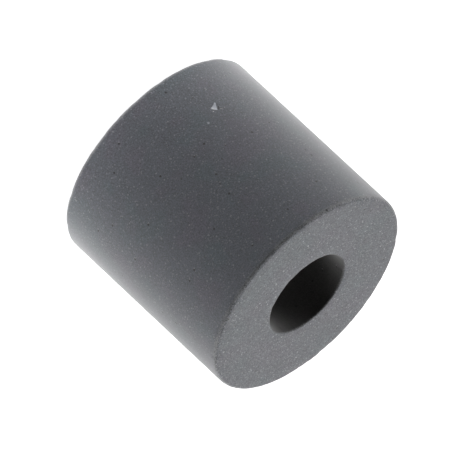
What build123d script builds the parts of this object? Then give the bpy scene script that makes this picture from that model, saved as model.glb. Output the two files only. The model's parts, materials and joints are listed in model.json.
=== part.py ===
from build123d import *
import os

# Solid ferrite cable core: a short thick-walled tube, pressed from ferrite powder and fired.
# Frame: millimetres, +Z up along the bore. The origin is the centre of the lower end face,
# on the bore's axis, so the core stands on z = 0.

# Driving dimensions
outer_diameter = 12.3
bore_diameter = 4.9
core_length = 11.5
outer_rim_radius = 0.2    # rounding where each end face meets the outer wall
bore_rim_radius = 0.12    # rounding where each end face meets the bore

with BuildPart() as ferrite_core:
    # The ring that the pressing die and its core rod give, drawn up to the full length
    with BuildSketch(Plane.XY):
        Circle(outer_diameter / 2)
        Circle(bore_diameter / 2, mode=Mode.SUBTRACT)
    extrude(amount=core_length)

    # Each end face has two round edges: the smaller one is the bore's mouth,
    # the larger one is the outer rim
    rims = ferrite_core.edges().filter_by(GeomType.CIRCLE).group_by(SortBy.RADIUS)
    bore_rims = rims[0]
    outer_rims = rims[-1]
    fillet(outer_rims, radius=outer_rim_radius)
    fillet(bore_rims, radius=bore_rim_radius)

ferrite_core.part.label = "ferrite_core"

os.makedirs("parts", exist_ok=True)
export_step(ferrite_core.part, "parts/ferrite_core.step")
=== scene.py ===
import json
import math

import bpy
from mathutils import Matrix, Vector


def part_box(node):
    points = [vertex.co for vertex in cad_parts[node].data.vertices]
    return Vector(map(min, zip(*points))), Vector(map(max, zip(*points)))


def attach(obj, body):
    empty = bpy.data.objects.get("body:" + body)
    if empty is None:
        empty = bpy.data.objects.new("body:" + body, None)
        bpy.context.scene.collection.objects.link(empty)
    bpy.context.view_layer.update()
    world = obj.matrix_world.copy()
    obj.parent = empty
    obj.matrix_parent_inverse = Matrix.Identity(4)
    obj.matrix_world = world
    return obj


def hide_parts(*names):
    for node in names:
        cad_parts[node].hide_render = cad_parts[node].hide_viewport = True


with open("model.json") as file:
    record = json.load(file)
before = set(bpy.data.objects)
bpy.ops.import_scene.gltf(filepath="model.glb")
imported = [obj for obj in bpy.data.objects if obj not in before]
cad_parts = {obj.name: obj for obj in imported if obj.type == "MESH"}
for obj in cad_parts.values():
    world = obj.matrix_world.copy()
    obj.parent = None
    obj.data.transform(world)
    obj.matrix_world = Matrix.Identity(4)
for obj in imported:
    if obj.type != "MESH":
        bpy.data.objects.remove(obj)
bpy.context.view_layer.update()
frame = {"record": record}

# Looks of the solid ferrite cable core: one pressed and fired ring of grey ferrite, standing on its
# lower end face. Metres, +Z up along the bore, as in the CAD model.

MM = 0.001

# ---------------------------------------------------------------- sizes of the core

lowest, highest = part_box("ferrite_core")
mounts = {mount["name"]: mount for mount in frame["record"]["mounts"]}
outer_radius = mounts["outer_wall"]["dims"]["r_mm"] * MM
bore_radius = mounts["cable_bore"]["dims"]["r_mm"] * MM
core_length = highest.z - lowest.z
outer_rim_radius = (core_length - mounts["outer_wall"]["dims"]["length_mm"] * MM) / 2
bore_rim_radius = (core_length - mounts["cable_bore"]["dims"]["length_mm"] * MM) / 2
middle = (lowest + highest) / 2

# The one chip in the outer wall: its bearing round the core, counted from +X, its height, and how
# far it leans on the wall. It shows as a pale three-cornered fleck that widens along its lean, which
# goes upwards and round the wall.
chip_bearing = math.radians(-126.9)
chip_height = 2.96 * MM
chip_lean = math.radians(43.0)
chip_radius = 0.25 * MM
chip_depth = 0.05 * MM
outwards = Vector((math.cos(chip_bearing), math.sin(chip_bearing), 0.0))
round_the_wall = Vector((-math.sin(chip_bearing), math.cos(chip_bearing), 0.0))
upwards = Vector((0.0, 0.0, 1.0))
chip_centre = outer_radius * outwards + chip_height * upwards
chip_across = math.cos(chip_lean) * upwards - math.sin(chip_lean) * round_the_wall
chip_along = math.sin(chip_lean) * upwards + math.cos(chip_lean) * round_the_wall


# ---------------------------------------------------------------- node trees in plain arithmetic

class Term:
    """A socket that arithmetic can be written on. Every operation adds one node to its tree."""

    def __init__(self, graph, socket):
        self.graph = graph
        self.socket = socket

    def math(self, operation, *values):
        return self.graph.add("ShaderNodeMath", {"operation": operation}, dict(enumerate(values)))

    def __add__(self, other):
        return self.math("ADD", self, other)

    def __radd__(self, other):
        return self.math("ADD", other, self)

    def __sub__(self, other):
        return self.math("SUBTRACT", self, other)

    def __rsub__(self, other):
        return self.math("SUBTRACT", other, self)

    def __mul__(self, other):
        return self.math("MULTIPLY", self, other)

    def __rmul__(self, other):
        return self.math("MULTIPLY", other, self)

    def __truediv__(self, other):
        return self.math("DIVIDE", self, other)

    def __gt__(self, other):
        return self.math("GREATER_THAN", self, other)

    def __neg__(self):
        return self.math("MULTIPLY", self, -1.0)

    def size(self):
        return self.math("ABSOLUTE", self)

    def at_least(self, other):
        return self.math("MAXIMUM", self, other)

    def at_most(self, other):
        return self.math("MINIMUM", self, other)

    def ramp(self, start, end):
        """0 before start and 1 after end, with a soft rise between; start may be the larger."""
        return self.graph.add("ShaderNodeMapRange", {"interpolation_type": "SMOOTHSTEP"},
                              {"Value": self, "From Min": start, "From Max": end})


class Graph:
    """Adds nodes to one node tree."""

    def __init__(self, tree):
        self.tree = tree

    def add(self, kind, settings=None, inputs=None, output=0):
        """A node of that kind, with its settings, then its inputs. Gives one output, or all if None."""
        node = self.tree.nodes.new(kind)
        for name, value in (settings or {}).items():
            setattr(node, name, value)
        for key, value in (inputs or {}).items():
            self.feed(self.find(node.inputs, key), value)
        if output is None:
            return node
        return Term(self, self.find(node.outputs, output))

    def find(self, sockets, key):
        usable = [socket for socket in sockets if socket.enabled]
        if isinstance(key, int):
            return usable[key]
        return next(socket for socket in usable if socket.name == key)

    def feed(self, socket, value):
        if isinstance(value, Term):
            self.tree.links.new(value.socket, socket)
        else:
            socket.default_value = value

    def vector(self, operation, *values, output=0):
        return self.add("ShaderNodeVectorMath", {"operation": operation}, dict(enumerate(values)), output)

    def length(self, vector):
        return self.vector("LENGTH", vector, output="Value")

    def scaled(self, vector, amount):
        return self.add("ShaderNodeVectorMath", {"operation": "SCALE"}, {0: vector, "Scale": amount})

    def blend(self, amount, first, second):
        """Colour that goes from first to second as amount goes from 0 to 1."""
        return self.add("ShaderNodeMix", {"data_type": "RGBA"},
                        {"Factor": amount, "A": first, "B": second}, "Result")


# ---------------------------------------------------------------- the core's shape

# What the ring's tree is given. The steps are the mesh's spacing up the walls, and the relief and the
# rim wear are the deepest that the surface is pressed in.
CORE_SIZES = {
    "Outer Radius": outer_radius,
    "Bore Radius": bore_radius,
    "Length": core_length,
    "Outer Rim Radius": outer_rim_radius,
    "Bore Rim Radius": bore_rim_radius,
    "Outer Step": 0.1 * MM,
    "Bore Step": 0.45 * MM,
    "Relief": 0.010 * MM,
    "Rim Wear": 0.05 * MM,
    "Chip Bearing": chip_bearing,
    "Chip Height": chip_height,
    "Chip Radius": chip_radius,
    "Chip Depth": chip_depth,
}
CORE_COUNTS = {"Steps Around": 420, "Rim Steps": 7, "Seed": 7}


def core_tree():
    """Geometry Nodes tree: the rounded section of the ring, swept round the bore and lightly worn."""
    tree = bpy.data.node_groups.new("pressed_ring", "GeometryNodeTree")
    for name, value in CORE_SIZES.items():
        socket = tree.interface.new_socket(name, in_out="INPUT", socket_type="NodeSocketFloat")
        socket.default_value = value
    for name, value in CORE_COUNTS.items():
        socket = tree.interface.new_socket(name, in_out="INPUT", socket_type="NodeSocketInt")
        socket.default_value = value
    tree.interface.new_socket("Finish", in_out="INPUT", socket_type="NodeSocketMaterial")
    tree.interface.new_socket("Geometry", in_out="OUTPUT", socket_type="NodeSocketGeometry")
    graph = Graph(tree)
    given = graph.add("NodeGroupInput", output=None)
    size = {socket.name: Term(graph, socket) for socket in given.outputs if socket.name}

    shape = swept_section(graph, size)
    shape = worn_surface(graph, size, shape)
    shape = graph.add("GeometryNodeSetShadeSmooth", {}, {"Geometry": shape, "Shade Smooth": True})
    shape = graph.add("GeometryNodeRealizeInstances", {}, {"Geometry": shape})
    shape = graph.add("GeometryNodeSetMaterial", {}, {"Geometry": shape, "Material": size["Finish"]})
    graph.add("NodeGroupOutput", {}, {"Geometry": shape}, output=None)
    return tree


def swept_section(graph, size):
    """The closed ring: a rectangle with rounded corners, carried round a circle."""
    position = graph.add("GeometryNodeInputPosition")
    across = graph.add("ShaderNodeSeparateXYZ", {}, {"Vector": position}, "X")
    outside = across > 0.0

    def by_side(outer_value, bore_value):
        return graph.add("GeometryNodeSwitch", {"input_type": "FLOAT"},
                         {"Switch": outside, "False": bore_value, "True": outer_value})

    section = graph.add("GeometryNodeCurvePrimitiveQuadrilateral", {"mode": "RECTANGLE"}, {
        "Width": size["Outer Radius"] - size["Bore Radius"], "Height": size["Length"]})
    section = graph.add("GeometryNodeFilletCurve", {"mode": "POLY"}, {
        "Curve": section, "Count": size["Rim Steps"], "Limit Radius": True,
        "Radius": by_side(size["Outer Rim Radius"], size["Bore Rim Radius"])})

    # Straight stretches get a point at every step, and the bore's wall, which hides in the dark, fewer
    following = graph.add("GeometryNodeOffsetPointInCurve", {}, {"Offset": 1}, "Point Index")
    next_position = graph.add("GeometryNodeFieldAtIndex", {"data_type": "FLOAT_VECTOR"},
                              {"Index": following, "Value": position})
    stretch = graph.length(graph.vector("SUBTRACT", next_position, position))
    step = by_side(size["Outer Step"], size["Bore Step"])
    section = graph.add("GeometryNodeSubdivideCurve", {}, {"Curve": section, "Cuts": stretch / step})

    circle = graph.add("GeometryNodeCurvePrimitiveCircle", {"mode": "RADIUS"}, {
        "Resolution": size["Steps Around"], "Radius": (size["Outer Radius"] + size["Bore Radius"]) / 2})
    ring = graph.add("GeometryNodeCurveToMesh", {}, {"Curve": circle, "Profile Curve": section})
    stand = graph.add("ShaderNodeCombineXYZ", {}, {"Z": size["Length"] / 2})
    return graph.add("GeometryNodeTransform", {}, {"Geometry": ring, "Translation": stand})


def worn_surface(graph, size, shape):
    """Presses the slight unevenness, the nibbled rims and the chip into the ring, always inwards."""
    position = graph.add("GeometryNodeInputPosition")
    place = graph.scaled(position, 1 / MM)
    flat = graph.vector("MULTIPLY", position, (1.0, 1.0, 0.0))
    radius = graph.length(flat)
    height = graph.add("ShaderNodeSeparateXYZ", {}, {"Vector": position}, "Z")
    from_end = height.at_most(size["Length"] - height)

    def unevenness(scale, detail):
        return graph.add("ShaderNodeTexNoise", {"noise_dimensions": "4D"}, {
            "Vector": place, "W": size["Seed"], "Scale": scale, "Detail": detail})

    relief = size["Relief"] * unevenness(0.8, 3.0)

    # The sharp corners wear first: most at the rim itself, in short shallow nibbles
    from_outer_rim = from_end.at_least(size["Outer Radius"] - radius)
    from_bore_rim = from_end.at_least(radius - size["Bore Radius"])
    near_outer_rim = from_outer_rim.ramp(2 * size["Outer Rim Radius"], 0.0)
    near_bore_rim = from_bore_rim.ramp(2 * size["Bore Rim Radius"], 0.0)
    nibbles = unevenness(1.3, 4.0).ramp(0.45, 0.8)
    wear = size["Rim Wear"] * nibbles * near_outer_rim.at_least(near_bore_rim)

    # The chip: an uneven scoop at its bearing and height on the outer wall
    spoke = graph.add("ShaderNodeCombineXYZ", {}, {"X": size["Outer Radius"], "Z": size["Chip Height"]})
    chip_place = graph.add("ShaderNodeVectorRotate", {"rotation_type": "Z_AXIS"}, {
        "Vector": spoke, "Angle": size["Chip Bearing"]})
    from_chip = graph.length(graph.vector("SUBTRACT", position, chip_place))
    ragged = from_chip * (0.6 + 0.8 * unevenness(6.0, 1.0))
    chip = size["Chip Depth"] * (ragged / size["Chip Radius"]).ramp(1.0, 0.3)

    inwards = graph.scaled(graph.add("GeometryNodeInputNormal"), -(relief + wear + chip))
    return graph.add("GeometryNodeSetPosition", {}, {"Geometry": shape, "Offset": inwards})


def made_by(tree, name, finish):
    """A plain mesh object made by the tree, with the modifier gone."""
    holder = bpy.data.objects.new(name + "_maker", bpy.data.meshes.new(name + "_maker"))
    bpy.context.scene.collection.objects.link(holder)
    modifier = holder.modifiers.new("maker", "NODES")
    modifier.node_group = tree
    for item in tree.interface.items_tree:
        if item.in_out == "INPUT" and item.name == "Finish":
            modifier[item.identifier] = finish
        elif item.in_out == "INPUT":
            modifier[item.identifier] = {**CORE_SIZES, **CORE_COUNTS}[item.name]
    evaluated = holder.evaluated_get(bpy.context.evaluated_depsgraph_get())
    mesh = bpy.data.meshes.new_from_object(evaluated)
    bpy.data.objects.remove(holder)
    piece = bpy.data.objects.new(name, mesh)
    bpy.context.scene.collection.objects.link(piece)
    return piece


# ---------------------------------------------------------------- the fired ferrite

FERRITE_COLOUR = (0.122, 0.133, 0.160, 1.0)
GREENISH_COLOUR = (0.112, 0.135, 0.158, 1.0)
PURPLISH_COLOUR = (0.132, 0.131, 0.164, 1.0)
# pale grey of the dust specks and of the painted glints on crystals and beside pits
DUST_AND_GLINT_COLOUR = (0.62, 0.63, 0.66, 1.0)
# near black: the pits, and the painted shadow beside the chip's fleck
PIT_AND_SHADOW_COLOUR = (0.012, 0.012, 0.013, 1.0)
# painted light on the outer rims' wall side, filling the shade of the rounded rim
PAINTED_RIM_LIGHT_COLOUR = (0.325, 0.330, 0.345, 1.0)
# painted shade on the bore's wall, where light does not reach
PAINTED_BORE_SHADE = (0.055, 0.052, 0.050, 1.0)
CHIP_COLOUR = (0.78, 0.81, 0.90, 1.0)
BRIGHT_COLOUR = (1.0, 1.0, 1.0, 1.0)

# Clouding and grain: how many waves to a millimetre
MOTTLE_SCALE = 0.9
TINT_SCALE = 0.5
GRAIN_SCALE = 15.0
RAGGED_SCALE = 5.0

# Specks: how many fit along a millimetre, and the radius of each in mm
CRYSTAL_SCALE = 4.0
CRYSTAL_RADIUS = 0.058
DUST_SCALE = 7.0
DUST_RADIUS = 0.050
PIT_SCALE = 1.5
PIT_RADIUS = 0.085
GLINT_RADIUS = 0.05

# Each pattern is read at a place of its own, in mm, and a glint lies just beside its pit
TINT_SHIFT = 20.0
DUST_SHIFT = 5.0
PIT_SHIFT = 9.0
GLINT_SHIFT = 9.05

# The crystals' bright specks are painted glints
WALL_CRYSTALS = 0.4        # the share of its crystals that the wall shows, where the end face shows all
WALL_GRAIN = 2.4           # how strong the grain is on the wall
FACE_GRAIN = 2.6           # what the end face adds to that
FACE_DARKER = 0.06         # how much darker the end face is
MOTTLE_STRENGTH = 0.25

# The pale fleck over the chip, in mm: where it begins and ends, its half width at the chip's centre,
# how fast that widens, and how far its edges waver
FLECK_TIP = -0.29
FLECK_END = 0.19
FLECK_HALF_WIDTH = 0.1256
FLECK_WIDENING = 0.27
FLECK_WAVER = 0.07

# What lies on and beside the fleck, in mm: place across, place along, half width, half length, then
# how strong it is and its colour
FLECK_SPOTS = [
    # The first spot is a painted shadow on the fleck's shaded side
    (0.22, 0.02, 0.06, 0.16, 0.9, PIT_AND_SHADOW_COLOUR),
    (-0.05, 0.13, 0.06, 0.06, 1.0, BRIGHT_COLOUR),
    (-0.02, 0.34, 0.04, 0.035, 0.8, BRIGHT_COLOUR),
    (0.36, 0.05, 0.10, 0.03, 0.35, BRIGHT_COLOUR),
    (-0.19, 1.12, 0.08, 0.09, 0.45, CHIP_COLOUR),
]


def new_material(name):
    """An empty node material and its graph."""
    material = bpy.data.materials.new(name)
    material.use_nodes = True
    material.node_tree.nodes.clear()
    return material, Graph(material.node_tree)


def chipped(graph, colour, position, ragged):
    """The colour with the pale fleck laid over it, a painted shadow on its one side, its bright spots and
    one fleck apart.
    """
    from_centre = graph.scaled(graph.vector("SUBTRACT", position, tuple(chip_centre)), 1 / MM)
    across = graph.vector("DOT_PRODUCT", from_centre, tuple(chip_across), output="Value")
    across = across + FLECK_WAVER * (ragged - 0.5)
    along = graph.vector("DOT_PRODUCT", from_centre, tuple(chip_along), output="Value")

    half_width = FLECK_HALF_WIDTH + FLECK_WIDENING * along
    fleck = (half_width - across.size()).ramp(-0.02, 0.04)
    fleck = fleck * (along - FLECK_TIP).ramp(-0.02, 0.03) * (FLECK_END - along).ramp(-0.02, 0.03)
    near_wall = graph.length(from_centre).ramp(1.5, 1.2)
    colour = graph.blend(fleck * near_wall * (0.6 + 0.7 * ragged), colour, CHIP_COLOUR)

    for across_place, along_place, wide, long, strength, spot_colour in FLECK_SPOTS:
        off_across = (across - across_place) / wide
        off_along = (along - along_place) / long
        spot = (off_across * off_across + off_along * off_along).ramp(1.0, 0.3)
        colour = graph.blend(spot * strength, colour, spot_colour)
    return colour


def fired_ferrite():
    """Grey sintered ferrite: matt and fine grained, with tiny crystals whose glints are painted in as
    bright specks, pits and one chip.
    """
    material, graph = new_material("fired_ferrite")
    position = graph.add("ShaderNodeTexCoord", output="Object")
    place = graph.scaled(position, 1 / MM)

    def noise(scale, detail, roughness=0.5, shift=0.0):
        moved = graph.vector("ADD", place, (shift, shift, shift))
        return graph.add("ShaderNodeTexNoise", {}, {
            "Vector": moved, "Scale": scale, "Detail": detail, "Roughness": roughness})

    def specks(scale, radius, shift=0.0):
        """Specks scattered at random: 1 in the middle and 0 outside, and then each one's own chance."""
        moved = graph.vector("ADD", place, (shift, shift, shift))
        node = graph.add("ShaderNodeTexVoronoi", {}, {"Vector": moved, "Scale": scale}, None)
        distance = Term(graph, node.outputs["Distance"])
        own_colour = Term(graph, node.outputs["Color"])
        chance = graph.add("ShaderNodeSeparateColor", {}, {"Color": own_colour}, "Red")
        return (distance / scale).ramp(radius, 0.45 * radius), chance

    mottle = noise(MOTTLE_SCALE, 3.0)
    tint = noise(TINT_SCALE, 2.0, shift=TINT_SHIFT)
    grain = noise(GRAIN_SCALE, 2.0, 0.65)
    crystals, crystal_chance = specks(CRYSTAL_SCALE, CRYSTAL_RADIUS)
    dust, dust_chance = specks(DUST_SCALE, DUST_RADIUS, shift=DUST_SHIFT)
    pits, pit_chance = specks(PIT_SCALE, PIT_RADIUS, shift=PIT_SHIFT)
    glints, glint_chance = specks(PIT_SCALE, GLINT_RADIUS, shift=GLINT_SHIFT)

    colour = graph.blend(tint.ramp(0.46, 0.34), FERRITE_COLOUR, GREENISH_COLOUR)
    colour = graph.blend(tint.ramp(0.52, 0.64), colour, PURPLISH_COLOUR)

    # The bore's wall is painted dark, a painted shade, and the outer rims get painted light beside the
    # wall, filling the shade of their rounded edge
    radius = graph.length(graph.vector("MULTIPLY", place, (1.0, 1.0, 0.0)))
    height = graph.add("ShaderNodeSeparateXYZ", {}, {"Vector": place}, "Z")
    from_end = height.at_most(core_length / MM - height)
    in_bore = radius.ramp(bore_radius / MM + 0.12, bore_radius / MM)
    from_wall = outer_radius / MM - radius
    painted_rim_light = from_end.ramp(0.26, 0.12) * from_wall.ramp(0.16, 0.03)
    on_face = from_end.ramp(0.15, 0.03)
    colour = graph.blend(painted_rim_light * (0.4 + 0.8 * mottle), colour, PAINTED_RIM_LIGHT_COLOUR)
    # Painted shade over the bore's wall
    colour = graph.blend(in_bore, colour, PAINTED_BORE_SHADE)

    # The pressed end faces show the crystals' painted glints and the grain more than the wall does
    showing = (WALL_CRYSTALS + (1.0 - WALL_CRYSTALS) * on_face) * (1.0 - in_bore)
    grain_strength = WALL_GRAIN + FACE_GRAIN * on_face
    brightness = 1.0 - FACE_DARKER * on_face + grain_strength * (grain - 0.5)
    brightness = brightness + MOTTLE_STRENGTH * (mottle - 0.5)
    colour = graph.vector("MULTIPLY", colour, graph.add("ShaderNodeCombineXYZ", {}, {
        "X": brightness, "Y": brightness, "Z": brightness}))
    # Bright specks: dust, then painted glints on the crystals and beside the pits
    colour = graph.blend(dust * dust_chance * 0.75 * showing, colour, DUST_AND_GLINT_COLOUR)
    colour = graph.blend(crystals * crystal_chance.ramp(0.1, 1.0) * showing, colour, DUST_AND_GLINT_COLOUR)
    colour = graph.blend(glints * (glint_chance > 0.4) * 0.5, colour, DUST_AND_GLINT_COLOUR)
    colour = graph.blend(pits * (pit_chance > 0.4), colour, PIT_AND_SHADOW_COLOUR)
    colour = chipped(graph, colour, position, noise(RAGGED_SCALE, 2.0))

    relief = grain * 0.6 + crystals * 0.5 - pits
    bump = graph.add("ShaderNodeBump", {}, {
        "Height": relief, "Distance": 0.01 * MM, "Strength": 0.5}, "Normal")
    shader = graph.add("ShaderNodeBsdfPrincipled", {}, {
        "Base Color": colour, "Roughness": 0.42 + 0.2 * (grain - 0.5), "Normal": bump,
        "Sheen Weight": 0.85, "Sheen Roughness": 0.5}, "BSDF")
    graph.add("ShaderNodeOutputMaterial", {}, {"Surface": shader}, output=None)
    return material


# ---------------------------------------------------------------- floor, light and camera

camera_tilt = math.radians(25.7)       # how far the camera looks down on the standing core
camera_roll = math.radians(133.0)      # turns the picture: the core's upper end points down and right
camera_distance = 60 * 2 * outer_radius
picture_width = 1.898 * 2 * outer_radius
picture_drop = 0.0335 * 2 * outer_radius      # the core sits this far above the picture's middle

# Light square to the line of sight, as a white tent gives it: none from the camera's side
TENT_LIGHT = 1.95
TENT_CENTRE = -0.05
TENT_WIDTH = 0.5
TENT_LEAN = 0.12           # how much brighter the tent is towards +X

# The floor: its own white, and how it lights the core in front, behind and close by
WHITE = (1.0, 1.0, 1.0, 1.0)
FLOOR_WHITE = 0.93
PAPER_COLOUR = (0.85, 0.85, 0.85, 1.0)
BLACK = (0.0, 0.0, 0.0, 1.0)
FLOOR_FRONT = 0.4
FLOOR_BACK = 1.2
FLOOR_NEAR = 1.5
NEAR_REACH = 3.0           # how far the glow close by reaches, in outer radii
CONTACT_SHADE = 0.1        # how much darker the sheet is right under the core


def seen_directly(graph):
    """The rays that show a backdrop as such: the camera's own, and the mirrored and refracted ones."""
    path = graph.add("ShaderNodeLightPath", output=None)
    camera, glossy, transmission = [Term(graph, graph.find(path.outputs, name)) for name in (
        "Is Camera Ray", "Is Glossy Ray", "Is Transmission Ray")]
    return camera, (glossy + transmission).at_most(1.0)


def light_room(towards_camera):
    """A soft white tent round the core, open towards the camera."""
    world = bpy.data.worlds.new("studio")
    bpy.context.scene.world = world
    world.use_nodes = True
    world.cycles.sampling_method = "NONE"
    world.node_tree.nodes.clear()
    graph = Graph(world.node_tree)
    direction = graph.add("ShaderNodeTexCoord", output="Generated")
    facing = graph.vector("DOT_PRODUCT", direction, tuple(towards_camera), output="Value")
    sideways = graph.add("ShaderNodeSeparateXYZ", {}, {"Vector": direction}, "X")
    across_view = (facing - TENT_CENTRE).size().ramp(TENT_WIDTH, 0.0)
    tent = TENT_LIGHT * (1.0 + TENT_LEAN * sideways) * across_view
    camera, mirrored = seen_directly(graph)
    backdrop = facing.ramp(0.8, 0.2)
    strength = (tent * (1.0 - mirrored) + backdrop * mirrored) * (1.0 - camera) + camera
    background = graph.add("ShaderNodeBackground", {}, {"Color": WHITE, "Strength": strength})
    graph.add("ShaderNodeOutputWorld", {}, {"Surface": background}, output=None)


def lay_floor():
    """A wide pale sheet under the core, lit from below. It takes the core's soft shadow."""
    reach = 0.4
    corners = [(-reach, -reach, 0.0), (reach, -reach, 0.0), (reach, reach, 0.0), (-reach, reach, 0.0)]
    mesh = bpy.data.meshes.new("floor")
    mesh.from_pydata(corners, [], [(0, 1, 2, 3)])
    floor = bpy.data.objects.new("floor", mesh)
    bpy.context.scene.collection.objects.link(floor)
    material, graph = new_material("pale_sheet")
    position = graph.add("ShaderNodeTexCoord", output="Object")
    depth = graph.add("ShaderNodeSeparateXYZ", {}, {"Vector": position}, "Y")
    behind = depth.ramp(-outer_radius, outer_radius)
    from_axis = graph.length(position)
    near = from_axis.ramp(NEAR_REACH * outer_radius, outer_radius)
    glow = FLOOR_FRONT + (FLOOR_BACK - FLOOR_FRONT) * behind + FLOOR_NEAR * near * (0.4 + 0.6 * behind)
    camera, mirrored = seen_directly(graph)
    lit = glow * (1.0 - mirrored) + FLOOR_WHITE * mirrored
    shaded = 1.0 - CONTACT_SHADE * from_axis.ramp(1.02 * outer_radius, outer_radius)
    strength = lit * shaded * (1.0 - camera) + FLOOR_WHITE * camera
    paper_colour = graph.blend(camera, BLACK, PAPER_COLOUR)
    paper = graph.add("ShaderNodeBsdfDiffuse", {}, {"Color": paper_colour}, "BSDF")
    shine = graph.add("ShaderNodeEmission", {}, {"Color": WHITE, "Strength": strength}, "Emission")
    both = graph.add("ShaderNodeAddShader", {}, {0: paper, 1: shine}, "Shader")
    graph.add("ShaderNodeOutputMaterial", {}, {"Surface": both}, output=None)
    material.cycles.emission_sampling = "NONE"
    mesh.materials.append(material)


def set_camera(towards_camera):
    """A long lens, far off, that looks down on the core and is rolled about its own line of sight."""
    data = bpy.data.cameras.new("camera")
    camera = bpy.data.objects.new("camera", data)
    bpy.context.scene.collection.objects.link(camera)
    turn = (-towards_camera).to_track_quat("-Z", "Y").to_matrix() @ Matrix.Rotation(camera_roll, 3, "Z")
    picture_down = turn @ Vector((0.0, -1.0, 0.0))
    place = middle + picture_down * picture_drop + towards_camera * camera_distance
    camera.matrix_world = Matrix.LocRotScale(place, turn.to_quaternion(), None)
    data.sensor_width = 36.0
    data.lens = data.sensor_width * camera_distance / picture_width
    data.clip_start = camera_distance / 10
    data.clip_end = camera_distance * 10
    bpy.context.scene.camera = camera


towards_camera = Vector((0.0, -math.cos(camera_tilt), math.sin(camera_tilt)))
set_camera(towards_camera)
light_room(towards_camera)
lay_floor()

core = made_by(core_tree(), "ferrite_ring", fired_ferrite())
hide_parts("ferrite_core")
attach(core, "root")

bpy.context.scene.view_settings.view_transform = "Standard"
